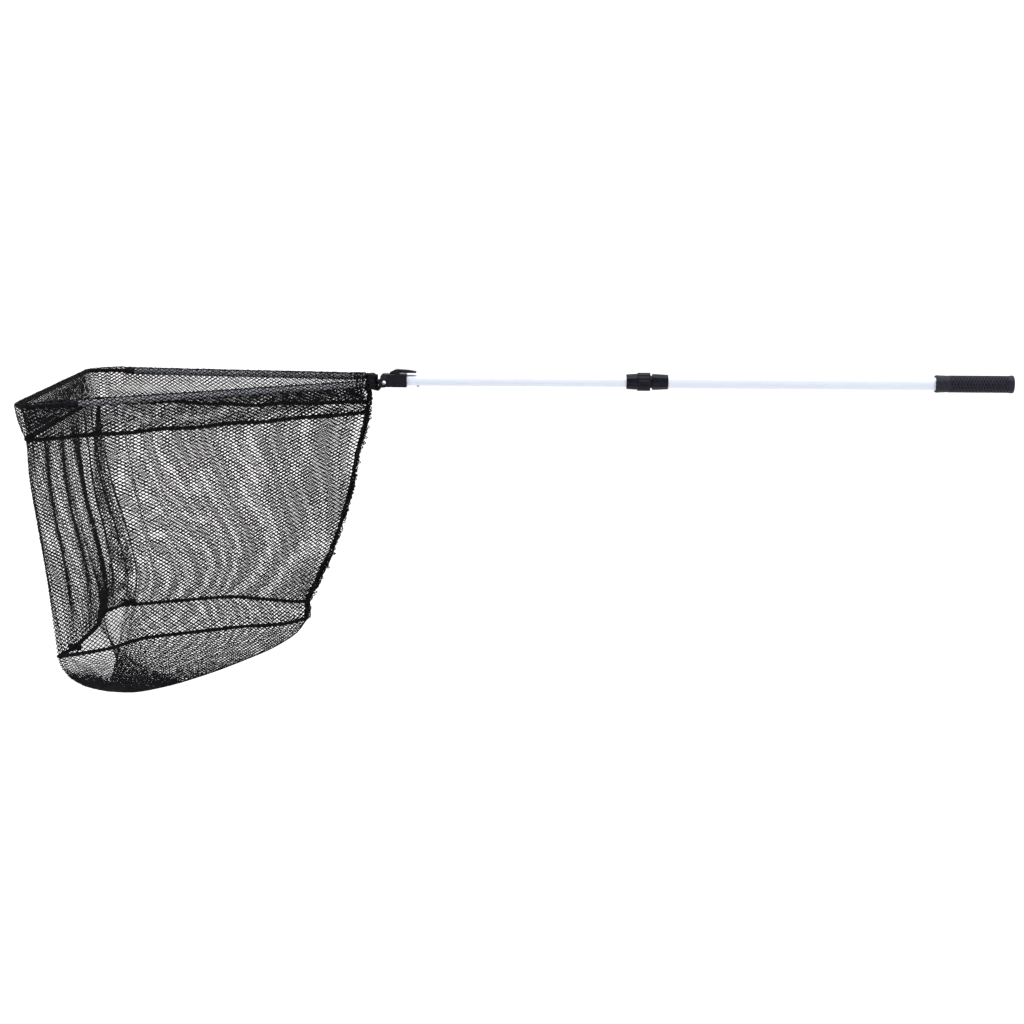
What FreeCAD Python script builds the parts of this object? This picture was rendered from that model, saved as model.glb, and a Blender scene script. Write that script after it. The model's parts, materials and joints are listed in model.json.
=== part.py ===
"""Folding landing net with a telescopic handle, as a parametric FreeCAD document.

Frame: the pole runs along X, the hoop lies towards -X, the grip's centre is the origin, +Z is up.
The hoop is built flat in its own frame, whose origin is the arms' pin, and is then turned down
about the fold pin by the small droop of the open hoop.
"""
import FreeCAD
import Part
import Sketcher
import math
import os
from FreeCAD import Placement, Rotation, Vector

# Driving dimensions, in millimetres and degrees. Reaches are measured from the grip's centre.
SIZES = {
    "GripHalf": 60.0, "GripRadius": 12.5, "GripLip": 4.0, "RimRadius": 13.0, "RimWidth": 5.0,
    "GripEndBore": 11.5, "CapDepth": 8.0, "PlugLength": 22.0,
    "OuterRadius": 9.5, "InnerRadius": 8.0, "TubeWall": 1.0, "RunningGap": 0.08, "PlugGap": 0.05,
    "LockReach": 465.3, "LockLength": 23.0, "LockRadius": 12.2, "LockTaper": 11.0, "LockSeat": 20.0,
    "SpigotLength": 21.7, "SpigotRadius": 9.3,
    "NutReach": 503.0, "NutLength": 34.6, "NutRing": 18.4, "NutFront": 10.9, "NutWaist": 11.9,
    "NutRadius": 13.4, "NutLip": 3.0, "NutMouth": 8.35, "NutThread": 9.45,
    "FluteCount": 12.0, "FluteRadius": 1.2,
    "ColletLength": 11.0, "ColletFront": 8.9, "ColletBack": 9.2, "ColletSlot": 1.4,
    "InnerOverlap": 60.0, "BushLength": 9.0, "BushRadius": 8.4, "BushSpigot": 14.0,
    "FoldReach": 855.0, "FoldHeight": 4.5, "FoldPinRadius": 2.5, "CheekRadius": 5.3,
    "BlockLength": 33.0, "BlockWidth": 24.0, "BlockTop": 9.2, "BlockBottom": 9.8, "BlockRound": 1.2,
    "BulgeRadius": 7.3, "BulgeBack": 1.0, "BulgeDrop": 3.0, "SlotWidth": 13.0, "SlotBack": 9.0,
    "WindowRadius": 2.9, "WindowDrop": 3.0, "BlockSpigot": 32.0,
    "LatchSlotEnd": 26.0, "LatchSlotWidth": 14.6, "LatchSlotFloor": 7.5,
    "LatchAxis": 19.0, "LatchHeight": 12.0, "LatchPinRadius": 1.5, "EarRadius": 4.0, "EarWidth": 3.2,
    "LatchWidth": 14.0, "LatchNose": 8.5, "LatchTail": 46.6, "LatchUnder": 10.9,
    "SpringPlace": 29.0, "SpringSeat": 3.5, "SpringTop": 10.7, "SpringRadius": 2.1,
    "SpringWire": 0.35, "SpringPitch": 1.5, "SpringBore": 3.0,
    "RivetPlace": 49.0, "RivetHead": 2.2, "RivetShank": 1.5, "RivetCap": 1.2, "RivetLength": 5.0,
    "PinReach": 873.0, "HoopDroop": 1.66, "HoopReach": 462.0, "HoopHalfWidth": 260.0,
    "TongueWidth": 12.4, "TongueRadius": 5.3, "HeelReach": 8.4, "HeelTop": 2.0, "HeelBottom": 8.2,
    "PlateHalf": 1.2, "EyeRadius": 9.0, "WasherThickness": 0.5, "WasherRadius": 8.0, "EyeGap": 0.1,
    "EyeThickness": 6.8, "ArmPinRadius": 3.0, "DomeRadius": 5.5, "DomeHeight": 2.6, "NutFlats": 4.4,
    "NutHeight": 4.0, "ArmRadius": 4.5, "ArmBore": 3.5, "ArmStart": 12.0, "ArmEnd": 440.0,
    "StubLength": 34.0, "ArmRivetPlace": 18.0, "ArmRivetShank": 1.2, "ArmRivetHead": 2.0,
    "FerruleRadius": 5.2, "FerruleEnd": 462.0, "FerrulePlug": 25.0, "HemStart": 24.0,
    "HemRadius": 5.0, "BowRadius": 3.0, "BowBend": 22.0, "BowGap": 0.4,
    "NetThickness": 2.0, "NetGap": 0.4, "NetStart": 34.0, "NetCorner": 480.0,
    "BandDepth": 50.0, "BandHeight": 5.0, "BandThickness": 4.0, "LoopDepth": 360.0,
    "LoopTip": 98.0, "LoopFront": 402.0, "LoopHalf": 172.0, "FrontInset": 6.0,
    "PouchDepth": 448.0, "PouchTip": 250.0, "PouchFront": 392.0, "PouchHalf": 100.0,
    "PouchWall": 3.0, "SeamWidth": 8.0,
}

doc = FreeCAD.newDocument("LandingNet")
sheet = doc.addObject("Spreadsheet::Sheet", "Size")
for row, (alias, number) in enumerate(SIZES.items(), start=1):
    sheet.set(f"A{row}", alias)
    sheet.set(f"B{row}", str(number))
    sheet.setAlias(f"B{row}", alias)
doc.recompute()


def size(alias):
    """The sheet's value of one driving dimension."""
    return float(getattr(sheet, alias))


def worked_out(expression):
    """The number that an expression on the sheet gives now."""
    return float(sheet.evalExpression(expression))


# ---------------------------------------------------------------- helpers for the document

nodes = []


def register(item, label, placement=None):
    """Name a sub-part's object and keep it for the export."""
    item.Label = label
    if placement is not None:
        item.Placement = placement
    nodes.append(item)
    return item


def new_body(label, placement=None):
    return register(doc.addObject("PartDesign::Body", "Body_" + label), label, placement)


def new_sketch(body, plane):
    """A sketch on one of the body's own origin planes: XY_Plane, XZ_Plane or YZ_Plane."""
    flat = body.newObject("Sketcher::SketchObject", "Sketch")
    role = [feature for feature in body.Origin.OriginFeatures if feature.Role == plane]
    flat.AttachmentSupport = [(role[0], "")]
    flat.MapMode = "FlatFace"
    return flat


def bind(flat, kind, first, second, expression):
    """One distance from the sketch's origin, or a radius, driven by an expression."""
    if kind == "Radius":
        index = flat.addConstraint(Sketcher.Constraint(kind, first, worked_out(expression)))
    else:
        index = flat.addConstraint(Sketcher.Constraint(kind, -1, 1, first, second, worked_out(expression)))
    flat.setExpression(f"Constraints[{index}]", expression)


def draw_polygon(flat, points):
    """A closed outline of straight sides through points given as pairs of expressions."""
    first = flat.GeometryCount
    corners = [Vector(worked_out(x), worked_out(y), 0) for x, y in points]
    count = len(points)
    for i in range(count):
        flat.addGeometry(Part.LineSegment(corners[i], corners[(i + 1) % count]), False)
    for i in range(count):
        flat.addConstraint(Sketcher.Constraint("Coincident", first + i, 2, first + (i + 1) % count, 1))
    for i, (x, y) in enumerate(points):
        bind(flat, "DistanceX", first + i, 1, x)
        bind(flat, "DistanceY", first + i, 1, y)


def draw_circle(flat, x, y, radius):
    index = flat.GeometryCount
    centre = Vector(worked_out(x), worked_out(y), 0)
    flat.addGeometry(Part.Circle(centre, Vector(0, 0, 1), worked_out(radius)), False)
    bind(flat, "Radius", index, 0, radius)
    bind(flat, "DistanceX", index, 3, x)
    bind(flat, "DistanceY", index, 3, y)


def pad(body, flat, length, symmetric=False, backwards=False):
    feature = body.newObject("PartDesign::Pad", "Pad")
    feature.Profile = flat
    feature.setExpression("Length", length)
    feature.Midplane = symmetric
    feature.Reversed = backwards
    return feature


def cut_through(body, flat):
    """A pocket that goes through the whole piece, both ways from the sketch."""
    feature = body.newObject("PartDesign::Pocket", "Pocket")
    feature.Profile = flat
    feature.Type = "ThroughAll"
    feature.Midplane = True
    return feature


def revolve(body, flat, axis):
    """A full turn of the sketch about its own H_Axis (across) or V_Axis (up)."""
    feature = body.newObject("PartDesign::Revolution", "Revolution")
    feature.Profile = flat
    feature.ReferenceAxis = (flat, [axis])
    feature.Angle = 360
    return feature


def turned(label, outline, axis="H_Axis", placement=None):
    """A turned piece: its half outline in X and Z, spun about X (H_Axis) or Z (V_Axis)."""
    body = new_body(label, placement)
    flat = new_sketch(body, "XZ_Plane")
    draw_polygon(flat, outline)
    revolve(body, flat, axis)
    return body


def along_pole(expression):
    """A placement on the pole's axis, at a distance given by an expression."""
    return Placement(Vector(worked_out(expression), 0, 0), Rotation())


# ---------------------------------------------------------------- handle: outer tube and grip

def make_outer_tube():
    bore = "(Size.OuterRadius - Size.TubeWall)"
    front, back = "-Size.LockReach + 3", "Size.GripHalf - Size.CapDepth"
    turned("outer_tube", [(front, bore), (back, bore), (back, "Size.OuterRadius"),
                          (front, "Size.OuterRadius")])


def make_hand_grip():
    lip, end = "-Size.GripHalf", "Size.GripHalf"
    seat = "Size.GripHalf - Size.CapDepth"
    rim = "Size.GripHalf - Size.RimWidth"
    turned("hand_grip", [
        (lip, "Size.OuterRadius"), (seat, "Size.OuterRadius"), (seat, "Size.GripEndBore"),
        (end, "Size.GripEndBore"), (end, "Size.RimRadius"), (rim, "Size.RimRadius"),
        (rim + " - 2", "Size.GripRadius"), (lip + " + Size.GripLip", "Size.GripRadius"),
        (lip, "Size.OuterRadius + 1")])


def make_butt_cap():
    seat, plug = "Size.GripHalf - Size.CapDepth", "(Size.OuterRadius - Size.TubeWall)"
    turned("butt_cap", [
        (seat + " - Size.PlugLength", "0"), (seat + " - Size.PlugLength", plug), (seat, plug),
        (seat, "Size.GripEndBore"), ("Size.GripHalf - 1", "Size.GripEndBore"),
        ("Size.GripHalf", "Size.GripEndBore - 1"), ("Size.GripHalf", "0")])


# ---------------------------------------------------------------- twist lock

def make_lock_body():
    """Fixed half of the lock: a shell over the tube's mouth and a threaded spigot in front."""
    bore = "Size.InnerRadius + Size.RunningGap"
    end = "Size.LockLength"
    turned("lock_body", [
        ("-Size.SpigotLength", bore), ("3", bore), ("3", "Size.OuterRadius"),
        (end, "Size.OuterRadius"), (end, "Size.LockTaper"), ("Size.LockSeat", "Size.LockRadius"),
        ("1", "Size.LockRadius"), ("0", "Size.LockRadius - 1"), ("0", "Size.SpigotRadius"),
        ("-Size.SpigotLength", "Size.SpigotRadius")], placement=along_pole("-Size.LockReach"))


def make_lock_collet():
    """Split cone ring that the nut squeezes onto the inner tube."""
    bore, end = "Size.InnerRadius + Size.RunningGap", "Size.ColletLength"
    place = along_pole("-Size.LockReach - Size.SpigotLength - Size.ColletLength - 0.3")
    body = turned("lock_collet", [("0", bore), (end, bore), (end, "Size.ColletBack"),
                                  ("0", "Size.ColletFront")], placement=place)
    flat = new_sketch(body, "XY_Plane")
    half, reach = "Size.ColletSlot / 2", "Size.ColletLength * 0.75"
    draw_polygon(flat, [("-1", "-" + half), (reach, "-" + half), (reach, half), ("-1", half)])
    slot = cut_through(body, flat)
    turns = body.newObject("PartDesign::PolarPattern", "Slots")
    turns.Originals = [slot]
    turns.Axis = (flat, ["H_Axis"])
    turns.Angle = 180
    turns.Occurrences = 2
    body.Tip = turns


def make_lock_nut():
    """Moving half of the lock: a tapered nose, a wide fluted ring, a bore for collet and thread."""
    end, ring = "Size.NutLength", "Size.NutLength - Size.NutRing"
    body = turned("lock_nut", [
        ("0", "Size.NutMouth"), ("Size.NutLip", "Size.NutMouth"), ("Size.NutLip", "Size.NutThread"),
        (end, "Size.NutThread"), (end, "Size.NutRadius - 1"), (end + " - 1", "Size.NutRadius"),
        (ring + " + 1", "Size.NutRadius"), (ring, "Size.NutRadius - 1"), (ring, "Size.NutWaist"),
        ("1", "Size.NutFront"), ("0", "Size.NutFront - 1")], placement=along_pole("-Size.NutReach"))
    flat = new_sketch(body, "YZ_Plane")
    draw_circle(flat, "0", "Size.NutRadius + Size.FluteRadius * 0.3", "Size.FluteRadius")
    flute = cut_through(body, flat)
    turns = body.newObject("PartDesign::PolarPattern", "Flutes")
    turns.Originals = [flute]
    turns.Axis = (flat, ["N_Axis"])
    turns.Angle = 360
    turns.setExpression("Occurrences", "Size.FluteCount")
    body.Tip = turns


# ---------------------------------------------------------------- inner pole and fold head

def make_inner_tube():
    bore = "(Size.InnerRadius - Size.TubeWall)"
    front = "-Size.FoldReach + Size.BlockLength"
    back = "-Size.LockReach + Size.InnerOverlap"
    turned("inner_tube", [(front, bore), (back, bore), (back, "Size.InnerRadius"),
                          (front, "Size.InnerRadius")])


def make_inner_bush():
    """Guide on the inner tube's hidden end, which also stops it from pulling out."""
    spigot = "(Size.InnerRadius - Size.TubeWall - Size.PlugGap)"
    bore = "(Size.InnerRadius - Size.TubeWall - 2)"
    turned("inner_bush", [
        ("-Size.BushSpigot", bore), ("Size.BushLength", bore),
        ("Size.BushLength", "Size.BushRadius"), ("0", "Size.BushRadius"), ("0", spigot),
        ("-Size.BushSpigot", spigot)], placement=along_pole("-Size.LockReach + Size.InnerOverlap"))


def make_head_block():
    """Moulded block on the inner tube: a forked hinge in front, a latch saddle on top."""
    body = new_body("head_block", along_pole("-Size.FoldReach"))
    side = new_sketch(body, "XZ_Plane")
    left, low = "-Size.BulgeBack - Size.BulgeRadius", "-Size.BlockBottom"
    draw_polygon(side, [
        ("-Size.CheekRadius + 0.1", "Size.FoldHeight - 1"), (left + " + 0.3", "-Size.BulgeDrop - 0.5"),
        ("-Size.BulgeRadius * 0.64", low + " + 0.3"), ("Size.BlockLength", low),
        ("Size.BlockLength", "Size.BlockTop"), ("-Size.CheekRadius * 0.4", "Size.BlockTop")])
    pad(body, side, "Size.BlockWidth", symmetric=True)
    for x, z, radius in (("0", "Size.FoldHeight", "Size.CheekRadius"),
                         ("-Size.BulgeBack", "-Size.BulgeDrop", "Size.BulgeRadius")):
        lobe = new_sketch(body, "XZ_Plane")
        draw_circle(lobe, x, z, radius)
        pad(body, lobe, "Size.BlockWidth", symmetric=True)
    ears = new_sketch(body, "XZ_Plane")
    draw_circle(ears, "Size.LatchAxis", "Size.LatchHeight", "Size.EarRadius")
    pad(body, ears, "Size.LatchSlotWidth + 2 * Size.EarWidth", symmetric=True)
    spigot = new_sketch(body, "YZ_Plane")
    draw_circle(spigot, "0", "0", "Size.InnerRadius - Size.TubeWall - Size.PlugGap")
    draw_spigot = pad(body, spigot, "Size.BlockLength + Size.BlockSpigot")
    doc.recompute()
    rounds = body.newObject("PartDesign::Fillet", "Rounds")
    rounds.Base = (draw_spigot, long_corner_edges(draw_spigot.Shape))
    rounds.setExpression("Radius", "Size.BlockRound")
    slot = new_sketch(body, "XY_Plane")
    wide = "Size.SlotWidth / 2"
    draw_polygon(slot, [("-20", "-" + wide), ("Size.SlotBack", "-" + wide),
                        ("Size.SlotBack", wide), ("-20", wide)])
    cut_through(body, slot)
    saddle = new_sketch(body, "XZ_Plane")
    floor, end, high = "Size.LatchSlotFloor", "Size.LatchSlotEnd", "Size.LatchHeight + 6"
    draw_polygon(saddle, [("-Size.SlotBack", floor), (end, floor), (end, high),
                          ("-Size.SlotBack", high)])
    saddle_cut = body.newObject("PartDesign::Pocket", "Saddle")
    saddle_cut.Profile = saddle
    saddle_cut.setExpression("Length", "Size.LatchSlotWidth")
    saddle_cut.Midplane = True
    holes = new_sketch(body, "XZ_Plane")
    draw_circle(holes, "0", "Size.FoldHeight", "Size.FoldPinRadius")
    draw_circle(holes, "0", "-Size.WindowDrop", "Size.WindowRadius")
    draw_circle(holes, "Size.LatchAxis", "Size.LatchHeight", "Size.LatchPinRadius")
    cut_through(body, holes)
    seat = new_sketch(body, "XZ_Plane")
    draw_polygon(seat, [
        ("Size.SpringPlace", "Size.SpringSeat"), ("Size.SpringPlace + Size.SpringBore", "Size.SpringSeat"),
        ("Size.SpringPlace + Size.SpringBore", "Size.BlockTop + 1"),
        ("Size.SpringPlace", "Size.BlockTop + 1")])
    well = body.newObject("PartDesign::Groove", "SpringWell")
    well.Profile = seat
    well.ReferenceAxis = (seat, ["Edge4"])
    well.Angle = 360


def long_corner_edges(shape):
    """The block's four long outer edges, which run along X at its widest."""
    chosen = []
    half = size("BlockWidth") / 2
    for number, edge in enumerate(shape.Edges, start=1):
        box = edge.BoundBox
        runs_along = box.XLength > size("BlockLength") / 2 and box.YLength < 0.01
        if runs_along and abs(abs(box.Center.y) - half) < 0.01:
            chosen.append(f"Edge{number}")
    return chosen


def make_cross_pin(label, x, z, radius, half_length, head):
    """A headed pin across the pole, along Y."""
    place = Placement(Vector(x, 0, z), Rotation(Vector(1, 0, 0), 90))
    grip = f"({half_length})"
    turned(label, [("0", "-" + grip + " - 1.2"), (head, "-" + grip + " - 1.2"), (head, "-" + grip),
                   (radius, "-" + grip), (radius, grip), (head, grip), (head, grip + " + 1.2"),
                   ("0", grip + " + 1.2")], axis="V_Axis", placement=place)


def make_latch_lever():
    """Rocking lever: a short nose over the hinge fork, a hub on its pin, a long thumb tail."""
    body = new_body("latch_lever", along_pole("-Size.FoldReach"))
    side = new_sketch(body, "XZ_Plane")
    under, nose, tail = "Size.LatchUnder", "Size.LatchNose", "Size.LatchTail"
    hub, axis, high = "Size.LatchHeight - 3", "Size.LatchAxis", "Size.LatchHeight + Size.EarRadius"
    draw_polygon(side, [
        (nose, under + " - 0.7"), (axis + " - 5", under + " - 1.2"), (axis + " - 2.5", hub),
        (axis + " + 2.5", hub), (axis + " + 4.5", under), (tail, under), (tail, under + " + 2.3"),
        (axis + " + 17", high + " - 1"), (axis + " + 2", high), (axis + " - 2.5", high + " - 0.2"),
        (axis + " - 8", high + " - 3"), (nose, high + " - 3.9")])
    pad(body, side, "Size.LatchWidth", symmetric=True)
    hole = new_sketch(body, "XZ_Plane")
    draw_circle(hole, axis, "Size.LatchHeight", "Size.LatchPinRadius + Size.PlugGap")
    cut_through(body, hole)


def make_latch_spring():
    """Compression spring under the lever's tail, a helix swept with a round wire."""
    coil = doc.addObject("Part::Helix", "SpringPath")
    coil.setExpression("Pitch", "Size.SpringPitch")
    coil.setExpression("Height", "Size.SpringTop - Size.SpringSeat - 2 * Size.SpringWire - 0.3")
    coil.setExpression("Radius", "Size.SpringRadius")
    wire = doc.addObject("Part::Circle", "SpringWireSection")
    wire.setExpression("Radius", "Size.SpringWire")
    wire.Placement = Placement(Vector(size("SpringRadius"), 0, 0), Rotation(Vector(1, 0, 0), 90))
    sweep = doc.addObject("Part::Sweep", "SpringSweep")
    sweep.Sections = [wire]
    sweep.Spine = (coil, [])
    sweep.Solid = True
    sweep.Frenet = True
    start = size("SpringSeat") + size("SpringWire") + 0.1
    place = Vector(-size("FoldReach") + size("SpringPlace"), 0, start)
    register(sweep, "latch_spring", Placement(place, Rotation()))


def make_head_rivet():
    """Drive rivet from below that keeps the inner tube on the block's spigot."""
    down = "(Size.InnerRadius + Size.RivetCap)"
    place = Placement(Vector(size("RivetPlace") - size("FoldReach"), 0, 0), Rotation())
    turned("head_rivet", [
        ("0", "-" + down), ("Size.RivetHead - 0.5", "-" + down),
        ("Size.RivetHead", "-Size.InnerRadius - 0.5"),
        ("Size.RivetHead", "-Size.InnerRadius + 0.3"), ("Size.RivetShank", "-Size.InnerRadius + 0.3"),
        ("Size.RivetShank", "-Size.InnerRadius + Size.RivetLength"),
        ("0", "-Size.InnerRadius + Size.RivetLength")], axis="V_Axis", placement=place)


# ---------------------------------------------------------------- hoop

def hoop_frame():
    """Placement of the hoop's own frame: its origin on the arms' pin, drooped about the fold pin."""
    fold = Vector(-size("FoldReach"), 0, size("FoldHeight"))
    droop = Placement(Vector(), Rotation(Vector(0, 1, 0), -size("HoopDroop")), fold)
    return droop.multiply(Placement(Vector(-size("PinReach"), 0, 0), Rotation()))


def arm_frame(side):
    """Placement of an arm's frame: X runs out along the arm. Side is -1 for left, +1 for right."""
    level = size("PlateHalf") + size("WasherThickness") + size("EyeGap") + size("EyeThickness") / 2
    half_angle = math.degrees(math.atan2(size("HoopHalfWidth"), size("HoopReach")))
    turn = Rotation(Vector(0, 0, 1), 180 - side * half_angle)
    return hoop_frame().multiply(Placement(Vector(0, 0, side * level), turn))


def make_fold_knuckle():
    """Steel knuckle: a thin plate between the arms' eyes, and a tongue in the block's fork."""
    body = new_body("fold_knuckle", hoop_frame())
    reach = "(Size.PinReach - Size.FoldReach)"
    plate = new_sketch(body, "XY_Plane")
    draw_circle(plate, "0", "0", "Size.EyeRadius")
    pad(body, plate, "2 * Size.PlateHalf", symmetric=True)
    neck = new_sketch(body, "XY_Plane")
    half = "Size.TongueWidth / 2"
    draw_polygon(neck, [("0", "-" + half), (reach, "-" + half), (reach, half), ("0", half)])
    pad(body, neck, "2 * Size.PlateHalf", symmetric=True)
    for z, radius in (("Size.FoldHeight", "Size.TongueRadius"),
                      ("-Size.WindowDrop", "Size.HeelBottom - Size.WindowDrop")):
        lobe = new_sketch(body, "XZ_Plane")
        draw_circle(lobe, reach, z, radius)
        pad(body, lobe, "Size.TongueWidth", symmetric=True)
    heel = new_sketch(body, "XZ_Plane")
    draw_polygon(heel, [
        (reach + " - 4.5", "-Size.HeelTop"), (reach + " - 2", "-Size.HeelBottom"),
        (reach + " + Size.HeelReach", "-Size.HeelBottom"), (reach + " + Size.HeelReach", "-Size.HeelTop"),
        (reach + " + 5", "Size.FoldHeight"), (reach + " - 5", "Size.FoldHeight")])
    pad(body, heel, "Size.TongueWidth", symmetric=True)
    across = new_sketch(body, "XZ_Plane")
    draw_circle(across, reach, "Size.FoldHeight", "Size.FoldPinRadius + Size.PlugGap")
    draw_circle(across, reach, "-Size.WindowDrop", "Size.WindowRadius")
    cut_through(body, across)
    upright = new_sketch(body, "XY_Plane")
    draw_circle(upright, "0", "0", "Size.ArmPinRadius")
    cut_through(body, upright)


def make_eye_washers():
    for label, side in (("lower_washer", -1), ("upper_washer", 1)):
        low = "Size.PlateHalf" if side > 0 else "-Size.PlateHalf - Size.WasherThickness"
        high = low + " + Size.WasherThickness"
        turned(label, [("Size.ArmPinRadius", low), ("Size.WasherRadius", low),
                       ("Size.WasherRadius", high), ("Size.ArmPinRadius", high)],
               axis="V_Axis", placement=hoop_frame())


def make_arm_pin():
    """Upright pin of both arms: a domed head above, a plain shank, a nut below."""
    stack = "(Size.PlateHalf + Size.WasherThickness + 2 * Size.EyeGap + Size.EyeThickness)"
    turned("arm_pin", [
        ("0", "-" + stack + " - Size.NutHeight"), ("Size.ArmPinRadius", "-" + stack + " - Size.NutHeight"),
        ("Size.ArmPinRadius", stack), ("Size.DomeRadius", stack), ("Size.DomeRadius", stack + " + 0.6"),
        ("Size.DomeRadius * 0.9", stack + " + Size.DomeHeight * 0.55"),
        ("Size.DomeRadius * 0.6", stack + " + Size.DomeHeight * 0.88"),
        ("0", stack + " + Size.DomeHeight")], axis="V_Axis", placement=hoop_frame())
    drop = worked_out(stack)
    below = hoop_frame().multiply(Placement(Vector(0, 0, -drop - size("NutHeight")), Rotation()))
    body = new_body("pin_nut", below)
    flat = new_sketch(body, "XY_Plane")
    draw_polygon(flat, [(f"Size.NutFlats / cos(30) * cos({60 * i})",
                         f"Size.NutFlats / cos(30) * sin({60 * i})") for i in range(6)])
    pad(body, flat, "Size.NutHeight")
    hole = new_sketch(body, "XY_Plane")
    draw_circle(hole, "0", "0", "Size.ArmPinRadius")
    cut_through(body, hole)


def make_arm(name, side):
    """One arm of the hoop: eye, tube, its rivet, the front ferrule and the net's hem sleeve."""
    frame = arm_frame(side)
    eye = new_body(name + "_eye", frame)
    stub = new_sketch(eye, "YZ_Plane")
    draw_circle(stub, "0", "0", "Size.ArmBore - Size.PlugGap")
    pad(eye, stub, "Size.StubLength")
    boss = new_sketch(eye, "YZ_Plane")
    draw_circle(boss, "0", "0", "Size.EyeThickness / 2")
    pad(eye, boss, "Size.ArmStart")
    disc = new_sketch(eye, "XY_Plane")
    draw_circle(disc, "0", "0", "Size.EyeRadius")
    pad(eye, disc, "Size.EyeThickness", symmetric=True)
    hole = new_sketch(eye, "XY_Plane")
    draw_circle(hole, "0", "0", "Size.ArmPinRadius + Size.PlugGap")
    cut_through(eye, hole)
    turned(name + "_tube", [("Size.ArmStart", "Size.ArmBore"), ("Size.ArmEnd", "Size.ArmBore"),
                            ("Size.ArmEnd", "Size.ArmRadius"), ("Size.ArmStart", "Size.ArmRadius")],
           placement=frame)
    at_rivet = frame.multiply(Placement(Vector(size("ArmRivetPlace"), 0, 0), Rotation()))
    out, cap = "(Size.ArmRadius - 0.1)", "(Size.ArmRadius + 0.5)"
    turned(name + "_rivet", [
        ("0", "-" + cap), ("Size.ArmRivetHead", "-" + cap), ("Size.ArmRivetHead", "-" + out),
        ("Size.ArmRivetShank", "-" + out), ("Size.ArmRivetShank", out), ("Size.ArmRivetHead", out),
        ("Size.ArmRivetHead", cap), ("0", cap)], axis="V_Axis", placement=at_rivet)
    plug = "Size.ArmBore - Size.PlugGap"
    turned(name + "_ferrule", [
        ("Size.ArmEnd - Size.FerrulePlug", "0"), ("Size.ArmEnd - Size.FerrulePlug", plug),
        ("Size.ArmEnd", plug), ("Size.ArmEnd", "Size.FerruleRadius"),
        ("Size.FerruleEnd - 3", "Size.FerruleRadius"), ("Size.FerruleEnd", "Size.BowRadius + 1"),
        ("Size.FerruleEnd", "0")], placement=frame)
    turned(name + "_hem", [("Size.HemStart", "Size.ArmRadius"), ("Size.ArmEnd", "Size.ArmRadius"),
                           ("Size.ArmEnd", "Size.HemRadius"), ("Size.HemStart", "Size.HemRadius")],
           placement=frame)


def arm_point(side, distance, drop=0.0):
    """A point in the hoop's frame, under an arm's axis at a distance from the pin."""
    spot = arm_frame(side).multVec(Vector(distance, 0, 0))
    return hoop_frame().inverse().multVec(spot) - Vector(0, 0, drop)


def make_front_bow():
    """Springy front bar: a leg from each ferrule, a bend at each corner, a straight front."""
    start = size("FerruleEnd") + size("BowGap")
    corner = math.hypot(size("HoopReach"), size("HoopHalfWidth"))
    corners = [arm_point(-1, start), arm_point(-1, corner), arm_point(1, corner), arm_point(1, start)]
    path = bent_wire(corners, size("BowBend"))
    heading = corners[1] - corners[0]
    ring = Part.Wire([Part.Circle(corners[0], heading, size("BowRadius")).toShape()])
    rod = path.makePipeShell([ring], True, True)
    bow = doc.addObject("Part::Feature", "FrontBow")
    bow.Shape = rod if rod.Volume > 0 else rod.reversed()
    register(bow, "front_bow", hoop_frame())


def bent_wire(corners, bend):
    """A wire through the corners, each inner corner replaced by an arc of the bend's radius."""
    edges = []
    start = corners[0]
    for before, corner, after in zip(corners, corners[1:], corners[2:]):
        back = (before - corner).normalize()
        ahead = (after - corner).normalize()
        half = back.getAngle(ahead) / 2
        run = bend / math.tan(half)
        middle = corner + (back + ahead).normalize() * (bend / math.sin(half) - bend)
        arc = Part.Arc(corner + back * run, middle, corner + ahead * run)
        edges += [Part.LineSegment(start, corner + back * run).toShape(), arc.toShape()]
        start = corner + ahead * run
    edges.append(Part.LineSegment(start, corners[-1]).toShape())
    return Part.Wire(edges)


# ---------------------------------------------------------------- net bag

def ruled_panel(top_from, top_to, low_from, low_to, thickness):
    """A thin closed panel between an upper edge and a lower edge, flat sided and evenly thick."""
    sections = []
    for start, end in ((top_from, top_to), (low_from, low_to)):
        across = (end - start).cross(Vector(0, 0, 1)).normalize() * (thickness / 2)
        ring = [start - across, end - across, end + across, start + across]
        sections.append(Part.makePolygon(ring + ring[:1]))
    return Part.makeLoft(sections, True, True)


def make_net_side(name, upper, lower):
    """One side of the bag in three pieces: doubled collar, sewn band and single-layer wall."""
    def between(fraction):
        return [high + (low - high) * fraction for high, low in zip(upper, lower)]

    depth = upper[0].z - lower[0].z
    marks = [0.0, size("BandDepth") / depth, (size("BandDepth") + size("BandHeight")) / depth, 1.0]
    kinds = (("net_collar", size("NetThickness")), ("net_band", size("BandThickness")),
             ("net_wall", size("NetThickness")))
    for (kind, thickness), start, end in zip(kinds, marks, marks[1:]):
        top, low = between(start), between(end)
        panel = doc.addObject("Part::Feature", kind + name)
        panel.Shape = ruled_panel(top[0], top[1], low[0], low[1], thickness)
        register(panel, f"{name}_{kind}", hoop_frame())


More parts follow.
